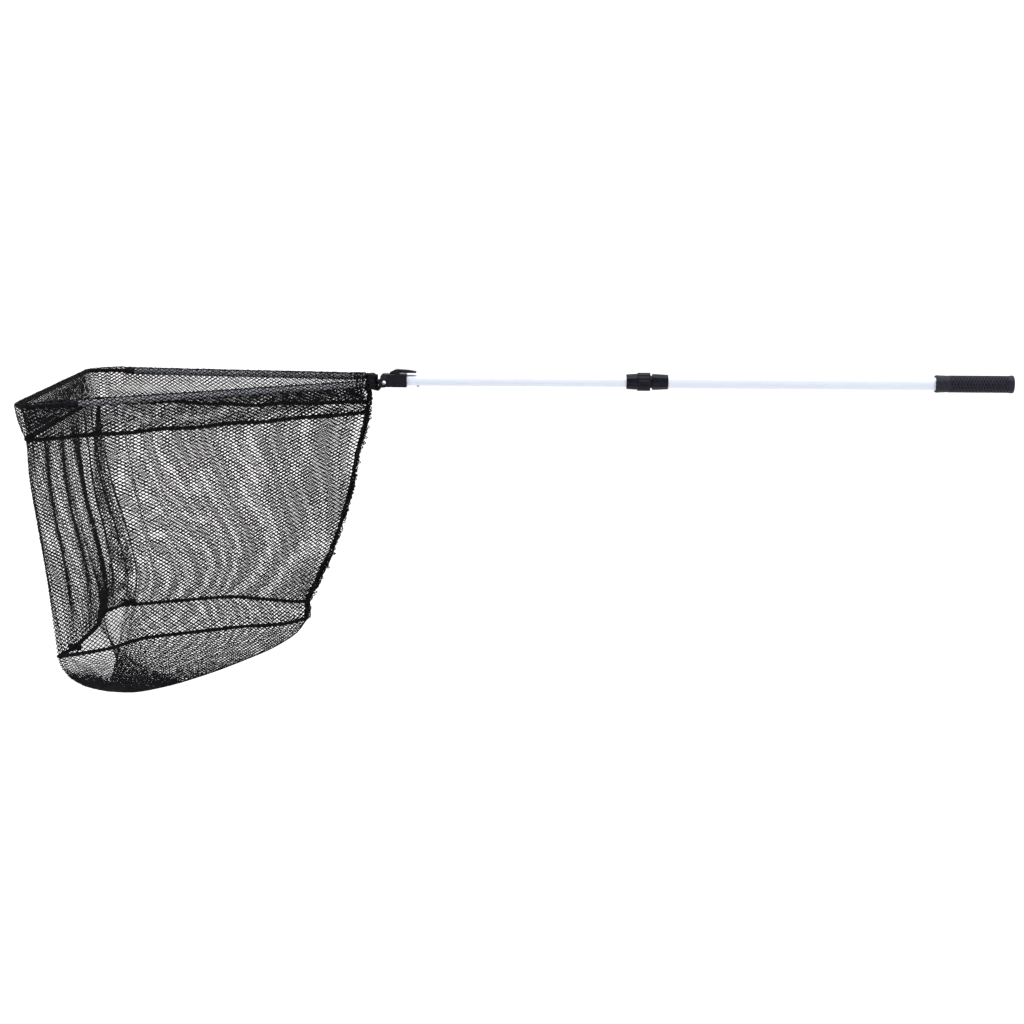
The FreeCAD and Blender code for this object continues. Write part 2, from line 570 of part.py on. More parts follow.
def make_net_sides():
    hang = size("HemRadius") + size("NetGap")
    deep = -size("LoopDepth")
    for name, side in (("left", -1), ("right", 1)):
        upper = (arm_point(side, size("NetStart"), hang), arm_point(side, size("NetCorner"), hang))
        lower = (Vector(-size("LoopTip") - 8, side * 5, deep),
                 Vector(-size("LoopFront") + 4, side * (size("LoopHalf") - 6), deep))
        make_net_side(name, upper, lower)
    front = -size("HoopReach")
    inset, half = size("FrontInset"), size("LoopHalf") - 10
    reach = size("HoopHalfWidth") - size("BowBend") - inset
    level = arm_point(1, 0).z
    under = size("BowRadius") + size("NetGap")
    slope = level / size("HoopHalfWidth")
    upper = (Vector(front, -reach, -slope * reach - under), Vector(front, reach, slope * reach - under))
    lower = (Vector(-size("LoopFront"), -half, deep), Vector(-size("LoopFront"), half, deep))
    make_net_side("front", upper, lower)


def triangle(tip, front, half, grow, z):
    """A triangle with its tip towards the handle, grown or shrunk on every side by an offset."""
    lean = math.atan2(half, front - tip)
    at_tip = tip - grow / math.sin(lean)
    base = front + grow
    wide = (base - at_tip) * math.tan(lean)
    points = [Vector(-at_tip, 0, z), Vector(-base, wide, z), Vector(-base, -wide, z)]
    return Part.makePolygon(points + points[:1])


def make_loop_band():
    """Sewn band around the bag's foot, a level triangular ring."""
    low = -size("LoopDepth") - size("BandHeight") - size("NetGap")
    outer, inner = (
        Part.Face(triangle(size("LoopTip"), size("LoopFront"), size("LoopHalf"), grow, low))
        for grow in (size("BandThickness") / 2, -size("BandThickness") / 2))
    band = doc.addObject("Part::Feature", "LoopBand")
    band.Shape = outer.cut(inner).extrude(Vector(0, 0, size("BandHeight")))
    register(band, "loop_band", hoop_frame())


def make_net_pouch():
    """Hanging foot of the bag: a tapered cup with a closed bottom, open at the top."""
    high = -size("LoopDepth") - size("BandHeight") - 2 * size("NetGap")
    wall = size("PouchWall")
    shells = []
    for grow, floor in ((0.0, 0.0), (-wall, wall)):
        top = triangle(size("LoopTip"), size("LoopFront"), size("LoopHalf"), grow, high)
        low = triangle(size("PouchTip"), size("PouchFront"), size("PouchHalf"), grow,
                       -size("PouchDepth") + floor)
        shells.append(Part.makeLoft([top, low], True, True))
    pouch = doc.addObject("Part::Feature", "NetPouch")
    pouch.Shape = shells[0].cut(shells[1])
    register(pouch, "net_pouch", hoop_frame())


def make_net_seam():
    """Gathered seam at the handle side of the bag, bowed towards the handle at mid height."""
    half = size("SeamWidth") / 2
    top = arm_point(-1, 0).z - size("EyeThickness") / 2 - size("NutHeight") - 4
    deep, lean = size("LoopDepth"), size("LoopTip") - size("EyeRadius") - 2 * half
    sections = []
    for step in range(6):
        fraction = step / 5
        x = -size("EyeRadius") - half - lean * fraction ** 1.8
        z = top - (deep + top) * fraction
        ring = [Vector(x - half, -half, z), Vector(x + half, -half, z),
                Vector(x + half, half, z), Vector(x - half, half, z)]
        sections.append(Part.makePolygon(ring + ring[:1]))
    seam = doc.addObject("Part::Feature", "NetSeam")
    seam.Shape = Part.makeLoft(sections, True, True)
    register(seam, "net_seam", hoop_frame())


# ---------------------------------------------------------------- build, test and write

def build():
    make_outer_tube()
    make_hand_grip()
    make_butt_cap()
    make_lock_body()
    make_lock_collet()
    make_lock_nut()
    make_inner_tube()
    make_inner_bush()
    make_head_block()
    make_cross_pin("fold_pin", -size("FoldReach"), size("FoldHeight"), "Size.FoldPinRadius",
                   "Size.BlockWidth / 2", "Size.FoldPinRadius + 1.5")
    make_cross_pin("latch_pin", size("LatchAxis") - size("FoldReach"), size("LatchHeight"),
                   "Size.LatchPinRadius", "Size.LatchSlotWidth / 2 + Size.EarWidth",
                   "Size.LatchPinRadius + 0.8")
    make_latch_lever()
    make_latch_spring()
    make_head_rivet()
    make_fold_knuckle()
    make_eye_washers()
    make_arm_pin()
    make_arm("left", -1)
    make_arm("right", 1)
    make_front_bow()
    make_net_sides()
    make_loop_band()
    make_net_pouch()
    make_net_seam()


def check_document():
    """Stop if any object failed, or if a sub-part's shape is missing or broken."""
    for item in doc.Objects:
        if "Invalid" in item.State or "Error" in item.State:
            raise RuntimeError(f"{item.Name} ({item.Label}) failed: {item.State}")
    for item in nodes:
        shape = item.Shape
        if shape.isNull() or not shape.isValid() or not shape.Solids:
            raise RuntimeError(f"{item.Label} has no valid solid")


def write_parts():
    os.makedirs("parts", exist_ok=True)
    for item in nodes:
        item.Shape.exportStep(f"parts/{item.Label}.step")
        print(f"{item.Label}: {len(item.Shape.Solids)} solid, {item.Shape.Volume / 1000:.2f} cm3")


build()
doc.recompute()
check_document()
write_parts()
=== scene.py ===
"""Looks of the folding landing net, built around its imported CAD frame."""
import json
import math

import bpy
import numpy as np
from mathutils import Matrix, Vector


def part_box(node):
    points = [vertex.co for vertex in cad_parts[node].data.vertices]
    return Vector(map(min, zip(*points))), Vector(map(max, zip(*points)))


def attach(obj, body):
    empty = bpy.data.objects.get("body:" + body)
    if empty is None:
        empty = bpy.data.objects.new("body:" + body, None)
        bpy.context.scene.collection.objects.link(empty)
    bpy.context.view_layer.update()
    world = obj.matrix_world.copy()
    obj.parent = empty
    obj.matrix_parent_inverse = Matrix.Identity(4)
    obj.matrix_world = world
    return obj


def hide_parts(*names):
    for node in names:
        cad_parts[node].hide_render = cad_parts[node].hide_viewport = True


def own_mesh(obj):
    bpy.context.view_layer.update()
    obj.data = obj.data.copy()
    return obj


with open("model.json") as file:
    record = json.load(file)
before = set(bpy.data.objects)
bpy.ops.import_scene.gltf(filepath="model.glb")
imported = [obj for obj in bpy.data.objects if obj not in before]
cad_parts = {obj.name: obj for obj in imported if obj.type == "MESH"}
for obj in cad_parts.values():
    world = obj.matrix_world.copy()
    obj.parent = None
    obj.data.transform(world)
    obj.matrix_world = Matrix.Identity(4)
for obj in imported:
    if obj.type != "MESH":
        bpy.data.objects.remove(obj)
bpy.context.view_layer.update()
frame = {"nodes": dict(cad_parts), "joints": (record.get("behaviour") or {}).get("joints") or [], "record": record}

MM = 0.001
rng = np.random.default_rng(20)

# ---------------------------------------------------------------- places from the frame
JOINTS = {joint["name"]: joint for joint in frame["joints"]}
PIN = np.array(JOINTS["left_arm_close"]["pos_m"])
UP = np.array(JOINTS["right_arm_close"]["axis"])
UP = UP / np.linalg.norm(UP)
SIDE = np.array([0.0, 1.0, 0.0])
BACK = np.cross(SIDE, UP)
SIGNS = {"left": -1.0, "right": 1.0}

# Sizes of the hoop, in millimetres; distances along an arm are from the pin.
HOOP_REACH = 462.0
HOOP_HALF = 260.0
HALF_ANGLE = math.atan2(HOOP_HALF, HOOP_REACH)
ARM_LENGTH = math.hypot(HOOP_REACH, HOOP_HALF)
BOW_BEND = 22.0
BOW_RADIUS = 3.0
BOW_START = 452.0
TUBE_RADIUS = 4.5
HEM_START = 15.0
HEM_END = 440.0
ARM_LEVEL = 5.2  # the right arm is this far above the pin's middle, the left one as far below
HOOP_MIDDLE = -300.0

# Netting: one half of the bag has this many half cells round it and down it. Strands are in millimetres.
WALL_STEPS = 96
FRONT_STEPS = 46
COLUMNS = WALL_STEPS + FRONT_STEPS
WALL_ROWS = 118
COLLAR_ROWS = 22
POUCH_PITCH = 2.8
STRAND = 0.68
HEM_STRAND = 0.34
CORNER_SHARE = 0.6715  # where the corner is along half of the rim, as a share of its length
TUCK_TOP = 0.135

# The folds that gather at each corner: their height in millimetres and their period in columns.
GATHER = {"left": 1.8, "right": 7.0}
GATHER_PERIOD = {"left": 15.0, "right": 10.0}

# The cord wound round the arm eyes: its height from the pin's middle, and the angles it starts and ends at.
LASHINGS = ((7.6, 1.3, 5.5), (4.5, 1.2, 5.6), (-4.5, 1.2, 5.6), (-9.8, 0.9, 5.9), (-12.2, 0, 6.28))
# A frayed loop of mesh, as shares of its reach along and across and of its drop.
CURL = np.array([[0, 0, 0], [0.55, 0.25, -0.3], [1.0, 0.15, 0.1], [0.8, -0.2, 0.6], [0.2, -0.1, 0.8]])


def hoop(x, y, z=0.0):
    """A point in the hoop's own plane, given in millimetres from the pin."""
    return PIN + (x * BACK + y * SIDE + z * UP) * MM


def hang(points):
    """Points of the hanging bag: x from the pin, y across, z from the pole's axis, in millimetres."""
    return np.array(points, float) * MM + np.array([PIN[0], 0.0, 0.0])


# ---------------------------------------------------------------- curve helpers
def smooth_curve(points, at, where):
    """A smooth curve through the points, which it passes at the values in at."""
    points, at = np.asarray(points, float), np.asarray(at, float)
    slope = np.gradient(points, at, axis=0)
    where = np.clip(np.asarray(where, float), at[0], at[-1])
    k = np.clip(np.searchsorted(at, where, side="right") - 1, 0, len(at) - 2)
    span = at[k + 1] - at[k]
    s = ((where - at[k]) / span)[..., None]
    span = span[..., None]
    return ((2 * s**3 - 3 * s**2 + 1) * points[k] + (s**3 - 2 * s**2 + s) * span * slope[k]
            + (3 * s**2 - 2 * s**3) * points[k + 1] + (s**3 - s**2) * span * slope[k + 1])


def lengths(points):
    steps = np.linalg.norm(np.diff(points, axis=0), axis=1)
    return np.concatenate([[0.0], np.cumsum(steps)])


def resample(points, step):
    """The same line with evenly spaced points."""
    along = lengths(points)
    count = max(3, int(round(along[-1] / step)) + 1)
    where = np.linspace(0, along[-1], count)
    return np.stack([np.interp(where, along, points[:, k]) for k in range(3)], axis=1)


def ramp(low, high, value):
    s = np.clip((value - low) / (high - low), 0, 1)
    return s * s * (3 - 2 * s)


def unit(vectors):
    size = np.linalg.norm(vectors, axis=-1, keepdims=True)
    return vectors / np.maximum(size, 1e-12)


def turned_out(directions, points, middle):
    """The directions, each made to point away from the middle."""
    return directions * np.sign(np.sum(directions * (points - middle), axis=1, keepdims=True))


# ---------------------------------------------------------------- mesh helpers
def make_mesh(name, verts, quads, tris, material):
    """A smooth-shaded mesh object from arrays."""
    verts = np.asarray(verts, np.float32).reshape(-1, 3)
    quads = np.asarray(quads, np.int32).reshape(-1, 4)
    tris = np.asarray(tris, np.int32).reshape(-1, 3)
    halves = np.concatenate([quads[:, [0, 1, 2]], quads[:, [0, 2, 3]], tris])
    volume = np.einsum("ij,ij->i", verts[halves[:, 0]], np.cross(verts[halves[:, 1]], verts[halves[:, 2]]))
    if volume.sum() < 0:
        quads, tris = quads[:, ::-1], tris[:, ::-1]
    mesh = bpy.data.meshes.new(name)
    mesh.vertices.add(len(verts))
    mesh.vertices.foreach_set("co", verts.ravel())
    corners = np.concatenate([quads.ravel(), tris.ravel()])
    totals = np.concatenate([np.full(len(quads), 4), np.full(len(tris), 3)]).astype(np.int32)
    starts = np.concatenate([[0], np.cumsum(totals)[:-1]]).astype(np.int32)
    mesh.loops.add(len(corners))
    mesh.loops.foreach_set("vertex_index", corners)
    mesh.polygons.add(len(totals))
    mesh.polygons.foreach_set("loop_start", starts)
    mesh.polygons.foreach_set("loop_total", totals)
    mesh.polygons.foreach_set("use_smooth", np.ones(len(totals), bool))
    mesh.update(calc_edges=True)
    mesh.validate()
    mesh.materials.append(material)
    piece = bpy.data.objects.new(name, mesh)
    bpy.context.scene.collection.objects.link(piece)
    return piece


def make_shell(name, x, radius, turn, material):
    """A closed shell about the pole's axis, from rows of places along it and radii, in millimetres."""
    x, radius, turn = np.broadcast_arrays(x, radius, turn)
    verts = np.stack([x, radius * np.cos(turn), radius * np.sin(turn)], -1) * MM
    index = np.arange(radius.size).reshape(radius.shape)
    below, beside = np.roll(index, -1, axis=0), np.roll(index, -1, axis=1)
    quads = np.stack([index, beside, np.roll(below, -1, axis=1), below], -1)
    return make_mesh(name, verts, quads, [], material)


class Tubes:
    """Collects round strands and makes one mesh of them."""

    def __init__(self):
        self.verts, self.quads, self.tris, self.count = [], [], [], 0

    def add(self, points, radius, normals, sides=4):
        """One strand along the points, with closed ends. normals point away from its surface."""
        points = np.asarray(points, float)
        if len(points) < 2:
            return
        tangent = unit(np.gradient(points, axis=0))
        across = unit(np.cross(tangent, np.broadcast_to(normals, points.shape)))
        out = np.cross(across, tangent)
        turn = np.arange(sides) * 2 * math.pi / sides
        ring = (np.cos(turn)[None, :, None] * out[:, None, :]
                + np.sin(turn)[None, :, None] * across[:, None, :])
        size = np.broadcast_to(radius, len(points))[:, None, None]
        self.verts.append((points[:, None, :] + ring * size).reshape(-1, 3))
        near = self.count + np.arange(len(points) - 1)[:, None] * sides + np.arange(sides)[None, :]
        side_next = np.roll(near, -1, axis=1)
        self.quads.append(np.stack([near, side_next, side_next + sides, near + sides], -1).reshape(-1, 4))
        last = self.count + (len(points) - 1) * sides
        fan = np.arange(1, sides - 1)
        first_cap = np.stack([np.full_like(fan, self.count), self.count + fan + 1, self.count + fan], -1)
        last_cap = np.stack([np.full_like(fan, last), last + fan, last + fan + 1], -1)
        self.tris += [first_cap, last_cap]
        self.count += len(points) * sides

    def mesh(self, name, material):
        return make_mesh(name, np.concatenate(self.verts), np.concatenate(self.quads),
                         np.concatenate(self.tris), material)


def add_lattice(tubes, grid, radius, inside=None):
    """Diamond netting over a grid of points: strands run both ways across it and meet at its knots.

    Points that are not inside are left out, and the strands end there.
    """
    grid = grid + rng.normal(0, 0.22 * MM, grid.shape)
    columns, rows = grid.shape[0] - 1, grid.shape[1] - 1
    outward = unit(np.cross(np.gradient(grid, axis=0), np.gradient(grid, axis=1)))
    radius = np.broadcast_to(radius, grid.shape[:2])
    starts = [(i, 0, 1) for i in range(0, columns, 2)]
    starts += [(0, j, 1) for j in range(2, rows, 2)]
    starts += [(i, 0, -1) for i in range(2, columns + 1, 2)]
    starts += [(columns, j, -1) for j in range(2 - columns % 2, rows, 2)]
    for i, j, step in starts:
        reach = min(rows - j, columns - i if step > 0 else i)
        k = np.arange(reach + 1)
        path = (i + step * k, j + k)
        if inside is None:
            tubes.add(grid[path], radius[path], outward[path])
            continue
        ends = np.flatnonzero(np.diff(inside[path].astype(int))) + 1
        for run in np.split(k, ends):
            kept = (i + step * run, j + run)
            if inside[kept].all():
                tubes.add(grid[kept], radius[kept], outward[kept])


def add_rope(tubes, points, radius, facing, pitch=0.011, strands=3, rough=0.12):
    """A twisted cord along the points: strands laid round each other, a little uneven."""
    points = resample(points, 1.7 * MM)
    along = lengths(points)
    tangent = unit(np.gradient(points, axis=0))
    across = unit(np.cross(tangent, np.broadcast_to(facing, points.shape)))
    out = np.cross(across, tangent)
    loose = 1 + rough * np.sin(along * 310) + rng.normal(0, rough, len(points))
    for k in range(strands):
        turn = 2 * math.pi * (along / pitch + k / strands)
        offset = (np.cos(turn)[:, None] * out + np.sin(turn)[:, None] * across) * radius * 0.48
        size = radius * 0.55 * (1 + rng.normal(0, rough * 0.6, len(points)))
        tubes.add(points + offset * loose[:, None], size, out, sides=6)


# ---------------------------------------------------------------- shape of the bag
def rim_half(side):
    """Half of the rim's centre line, from near the pin, round the corner to the front's middle."""
    arm = np.array([-math.cos(HALF_ANGLE), math.sin(HALF_ANGLE)])
    corner = arm * ARM_LENGTH
    inner_angle = math.pi / 2 - HALF_ANGLE
    tangent_length = BOW_BEND / math.tan(inner_angle / 2)
    centre = np.array([-HOOP_REACH + BOW_BEND, HOOP_HALF - tangent_length])
    start_angle = math.atan2(math.cos(HALF_ANGLE), math.sin(HALF_ANGLE))
    turn = np.linspace(start_angle, math.pi, 17)
    bend = centre + BOW_BEND * np.stack([np.cos(turn), np.sin(turn)], 1)
    straight = [arm * s for s in np.linspace(HEM_START, np.dot(corner, arm) - tangent_length, 40)]
    front = [[-HOOP_REACH, y] for y in np.linspace(HOOP_HALF - tangent_length, 0, 24)[1:]]
    flat = np.array(straight + list(bend[1:]) + front)
    level = np.ones(len(flat))
    level[len(straight):] = np.minimum(flat[len(straight):, 1] / flat[len(straight) - 1, 1], 1)
    sign = SIGNS[side]
    return np.array([hoop(x, sign * y, sign * z) for (x, y), z in zip(flat, level * ARM_LEVEL)])


SEAM_LINE = hang([(-9, 0, -1), (-5, 0, -22), (-10, 0, -64), (-22, 0, -110), (-31, 0, -157), (-45, 0, -206),
                  (-60, 0, -252), (-82, 0, -298), (-95, 0, -328), (-96, 0, -353)])
SEAM = {"left": SEAM_LINE, "right": SEAM_LINE[:-1]}
CORNER = {
    "left": hang([(-451, -244, -14), (-444, -250, -53), (-444, -239, -111), (-441, -220, -176),
                  (-434, -202, -263), (-427, -198, -330), (-418, -216, -366)]),
    "right": hang([(-451, 244, -14), (-449, 250, -60), (-446, 246, -111), (-429, 220, -189),
                   (-401, 182, -254), (-382, 152, -323), (-388, 149, -362)]),
}
LOOP_WALL = {
    "left": hang([(-96, 0, -353), (-114, -10, -357), (-193, -48, -358), (-252, -70, -361),
                  (-326, -116, -363), (-354, -162, -365), (-391, -196, -366), (-418, -216, -366)]),
    "right": hang([(-95, 0, -328), (-112, 12, -331), (-160, 42, -334), (-219, 75, -337),
                   (-267, 100, -345), (-330, 112, -353), (-370, 125, -359), (-388, 149, -362)]),
}
LOOP_FRONT = hang([(-418, -216, -366), (-409, -148, -367), (-406, -80, -366), (-405, -10, -365),
                   (-413, 60, -366), (-414, 105, -366), (-388, 149, -362)])
RIDGE = hang([(-96, 0, -353), (-112, -6, -374), (-136, -12, -390), (-190, -20, -414), (-250, -26, -436),
              (-307, -32, -452), (-350, -36, -459), (-388, -40, -457)])


def fractions(points):
    """How far down a guide each of its points is, from 0 to 1."""
    drop = points[0, 2] - points[:, 2]
    return np.maximum.accumulate(drop / drop.max() + np.arange(len(points)) * 1e-6)


def guide(points, v):
    return smooth_curve(points, fractions(points), v * fractions(points)[-1])


def share(points):
    along = lengths(points)
    return along / along[-1]


def band_level(side, t, front):
    """How far down the netting its upper band runs, as a share of its depth."""
    at_pin, at_middle, at_corner = {"left": (0.124, 0.13, 0.132), "right": (0.104, 0.134, 0.122)}[side]
    at_front = 0.127
    wall = np.interp(t, [0, 0.45, 1], [at_pin, at_middle, at_corner])
    sway = 0.003 * np.sin(31 * t + 2 * SIGNS[side]) * np.sin(math.pi * t) ** 0.5
    return np.where(front > 0, at_corner + (at_front - at_corner) * front, wall + sway)


def places(column):
    """How far the columns are along the wall, and then along the front, each from 0 to 1."""
    return np.clip(column / WALL_STEPS, 0, 1), np.clip((column - WALL_STEPS) / FRONT_STEPS, 0, 1)


def folds(side, column, t, front, v):
    """Drape of the cloth, in millimetres along its outward normal, and its drift along the cloth."""
    from_corner = column - WALL_STEPS
    hanging = np.sin(math.pi * np.clip((v - 0.14) / 0.86, 0, 1) ** 0.8)
    gather = GATHER[side] * np.exp(-(from_corner / 19) ** 2)
    lean = SIGNS[side] * (0.9 * v + 0.12 * np.sin(5 * v))
    phase = 2 * math.pi * (from_corner / GATHER_PERIOD[side] + lean)
    long_waves = 1.8 * np.sin(2 * math.pi * (4.3 * t + 0.5 * v)) * ramp(0.15, 0.7, t) * (front <= 0)
    arrive = ramp(0, 0.3, front)
    front_waves = 3.2 * np.sin(2 * math.pi * (2.3 * front + v + 0.15 * np.sin(6 * v))) * arrive
    drift = 0.0022 * gather * np.cos(phase) + 0.02 * np.cos(2 * math.pi * (2.3 * front + 0.5 * v)) * arrive
    return (gather * np.sin(phase) + long_waves + front_waves) * hanging, drift * hanging


def bag_point(side, column, v):
    """The bag's surface: columns from the seam to the middle of the front, v from rim, 0, to loop, 1."""
    column, v = np.broadcast_arrays(np.asarray(column, float), np.asarray(v, float))
    other = "right" if side == "left" else "left"
    t, front = places(column)
    wave, drift = folds(side, column, t, front, v)
    t = np.clip(t + np.where(front > 0, 0, drift), 0, 1)
    rim = rim_half(side)
    along = lengths(rim)
    corner_length = along[-1] * CORNER_SHARE
    rim_at = np.where(front > 0, corner_length + (along[-1] - corner_length) * front, corner_length * t)
    rim_point = np.stack([np.interp(rim_at, along, rim[:, k]) for k in range(3)], -1)
    seam, near, far = guide(SEAM[side], v), guide(CORNER[side], v), guide(CORNER[other], v)
    # The wall between the seam and this side's corner.
    tt = t[..., None]
    wall = seam + (near - seam) * tt
    chord = LOOP_WALL[side][0] + (LOOP_WALL[side][-1] - LOOP_WALL[side][0]) * tt
    wall_sag = smooth_curve(LOOP_WALL[side], share(LOOP_WALL[side]), t) - chord
    wall_top = SEAM[side][0] + (CORNER[side][0] - SEAM[side][0]) * tt
    # The front between the two corners, up to the plane y = 0.
    reach = (np.abs(near[..., 1]) / (np.abs(near[..., 1]) + np.abs(far[..., 1])))[..., None]
    across = np.clip(front[..., None] * reach + np.where(front > 0, drift, 0)[..., None]
                     * (1 - front[..., None]), 0, 1)
    face = near + (far - near) * across
    loop = LOOP_FRONT if side == "left" else LOOP_FRONT[::-1]
    loop_chord = loop[0] + (loop[-1] - loop[0]) * across
    face_sag = smooth_curve(loop, share(loop), across[..., 0]) - loop_chord
    face_top = CORNER[side][0] + (CORNER[other][0] - CORNER[side][0]) * across
    on_front = (front > 0)[..., None]
    base = np.where(on_front, face, wall)
    sag = np.where(on_front, face_sag, wall_sag)
    top = np.where(on_front, face_top, wall_top)
    vv = v[..., None]
    point = base + sag * vv**1.5 + (rim_point - top) * np.clip(1 - vv, 0, 1) ** 5
    flat = unit(np.gradient(point, axis=0))
    outward = np.cross(flat, [0, 0, 1.0]) * SIGNS[side]
    return point - outward * wave[..., None] * MM


def grid_of(side, rows, level):
    """A grid of bag points; level(side, t, front, s) gives how far down row share s is."""
    column = np.arange(COLUMNS + 1)[:, None] + np.zeros(rows + 1)[None, :]
    s = np.zeros(COLUMNS + 1)[:, None] + np.linspace(0, 1, rows + 1)[None, :]
    return bag_point(side, column, level(side, *places(column), s))


def wall_level(side, t, front, s):
    band = band_level(side, t, front)
    return band + (1 - band) * s


def band_line(side):
    column = np.arange(COLUMNS + 1, dtype=float)
    return bag_point(side, column, band_level(side, *places(column)))


def collar_grid(side, facing):
    """One layer of the collar, from the top of the rim down to the band; facing is 1 outside, -1 inside."""
    rim = resample(rim_half(side), 1 * MM)
    along = lengths(rim)
    column = np.arange(COLUMNS + 1)
    beyond = CORNER_SHARE + (1 - CORNER_SHARE) * (column - WALL_STEPS) / FRONT_STEPS
    where = np.where(column <= WALL_STEPS, CORNER_SHARE * column / WALL_STEPS, beyond) * along[-1]
    centre = np.stack([np.interp(where, along, rim[:, k]) for k in range(3)], -1)
    tangent = unit(np.gradient(centre, axis=0))
    outward = turned_out(unit(np.cross(tangent, UP)), centre, hoop(HOOP_MIDDLE, 0)) * facing
    from_pin = where / MM + HEM_START
    wrap = np.interp(from_pin, [HEM_END, 470, 520], [TUBE_RADIUS + 1.0, 6.0, BOW_RADIUS + 1.0])[:, None] * MM
    band = band_line(side)
    length = np.linalg.norm(band - centre, axis=1)[:, None] + wrap * math.pi / 2
    s = np.linspace(0, 1, COLLAR_ROWS + 1)[None, :] * length
    over = np.minimum(s / wrap, math.pi / 2)[..., None]
    curve = centre[:, None, :] + wrap[..., None] * (np.sin(over) * outward[:, None, :] + np.cos(over) * UP)
    below = np.clip((s - wrap * math.pi / 2) / (length - wrap * math.pi / 2), 0, 1)[..., None]
    foot = (band + outward * 1.2 * MM)[:, None, :]
    puff = np.sin(math.pi * below) * outward[:, None, :] * 1.8 * MM
    return curve + (foot - (centre + wrap * outward)[:, None, :]) * below + puff


def pouch_surface(side):
    """The foot of the bag, from the loop down to the ridge where both sides meet."""
    column = np.arange(COLUMNS + 1)
    t, front = places(column)
    loop = bag_point(side, column, np.ones(COLUMNS + 1))
    ridge = smooth_curve(RIDGE, share(RIDGE), t - 0.34 * front)
    tangent = unit(np.gradient(loop, axis=0))
    outward = turned_out(np.cross(tangent, [0, 0, 1.0]), loop, hang([(-280, -20, 0)])[0])
    bulge = (3 + 3 * ramp(0, 0.5, front)) * MM
    w = np.linspace(0, 1, 61)[None, :, None]
    to_corner = ramp(0.45, 1, t)[:, None, None]
    inward = w ** (1.25 - 0.25 * to_corner)
    drop = (1 - to_corner) * w ** 0.8 + to_corner * w ** 0.62
    flat = loop[:, None, :] + (ridge - loop)[:, None, :] * inward
    flat[..., 2] = loop[:, None, 2] + (ridge - loop)[:, None, 2] * drop[..., 0]
    ripple = 1.6 * MM * np.sin(column * 0.6)[:, None, None] * np.sin(w * math.pi)
    return flat + outward[:, None, :] * (bulge[:, None, None] * np.sin(w * math.pi) ** 1.2 + ripple)


def even_rows(surface, pitch):
    """The same surface with rows at an even pitch down each column, and which of its points are on it."""
    steps = np.linalg.norm(np.diff(surface, axis=1), axis=2)
    along = np.concatenate([np.zeros((len(surface), 1)), np.cumsum(steps, axis=1)], axis=1)
    down = np.arange(int(along.max() / pitch) + 2) * pitch
    grid = np.stack([[np.interp(down, along[c], surface[c, :, k]) for c in range(len(surface))]
                     for k in range(3)], -1)
    return grid, down[None, :] < along[:, -1:] + pitch


def tuck_grid():
    """A fold of spare netting hanging by the right corner, narrow at the band and wide at the loop."""
    v = np.linspace(TUCK_TOP, 1, 101)[None, :]
    share_out = np.linspace(0, 1, 14)[:, None]
    width = 3 + 39 * np.clip((v - TUCK_TOP) / (1 - TUCK_TOP), 0, 1) ** 0.9
    edge = guide(CORNER["right"], v + 0 * share_out)
    return edge + (width * share_out)[..., None] * MM * np.array([-0.9, -0.8, 0])


def round_arm(side, from_pin, radius, turn):
    """Rings round an arm tube at these distances from the pin; turn 0 is below the tube."""
    sign = SIGNS[side]
    out = hoop(-math.cos(HALF_ANGLE), sign * math.sin(HALF_ANGLE)) - PIN
    arm = np.array([hoop(0, 0, sign * ARM_LEVEL) + out * s for s in from_pin])
    lateral = unit(np.cross(out, UP))
    turn = turn[None, :, None]
    return arm[:, None, :] + radius * MM * (np.cos(turn) * -UP + np.sin(turn) * lateral)


# ---------------------------------------------------------------- materials
def new_material(name, colour, roughness, **settings):
    """A node material with its shader's plain values set; returns the material and a small kit."""
    material = bpy.data.materials.new(name)
    material.use_nodes = True
    shader = material.node_tree.nodes["Principled BSDF"]
    shader.inputs["Base Color"].default_value = (*colour, 1)
    shader.inputs["Roughness"].default_value = roughness
    for socket, value in settings.items():
        shader.inputs[socket.replace("_", " ")].default_value = value
    return material, material.node_tree.nodes, material.node_tree.links, shader


def object_coordinates(nodes, links, scale):
    place = nodes.new("ShaderNodeTexCoord")
    mapping = nodes.new("ShaderNodeMapping")
    mapping.inputs["Scale"].default_value = scale
    links.new(place.outputs["Object"], mapping.inputs["Vector"])
    return mapping.outputs["Vector"]


def noise(nodes, links, vector, scale, detail=4.0, rough=0.55):
    texture = nodes.new("ShaderNodeTexNoise")
    texture.inputs["Scale"].default_value = scale
    texture.inputs["Detail"].default_value = detail
    texture.inputs["Roughness"].default_value = rough
    links.new(vector, texture.inputs["Vector"])
    return texture.outputs["Fac"]


def colour_between(nodes, links, factor, low, high, start=0.35, end=0.65):
    band = nodes.new("ShaderNodeValToRGB")
    band.color_ramp.elements[0].position = start
    band.color_ramp.elements[0].color = (*low, 1)
    band.color_ramp.elements[1].position = end
    band.color_ramp.elements[1].color = (*high, 1)
    links.new(factor, band.inputs["Fac"])
    return band.outputs["Color"]


def value_between(nodes, links, factor, low, high):
    spread = nodes.new("ShaderNodeMapRange")
    spread.inputs["To Min"].default_value = low
    spread.inputs["To Max"].default_value = high
    links.new(factor, spread.inputs["Value"])
    return spread.outputs["Result"]


def bump(nodes, links, shader, height, strength, distance):
    node = nodes.new("ShaderNodeBump")
    node.inputs["Strength"].default_value = strength
    node.inputs["Distance"].default_value = distance
    links.new(height, node.inputs["Height"])
    links.new(node.outputs["Normal"], shader.inputs["Normal"])


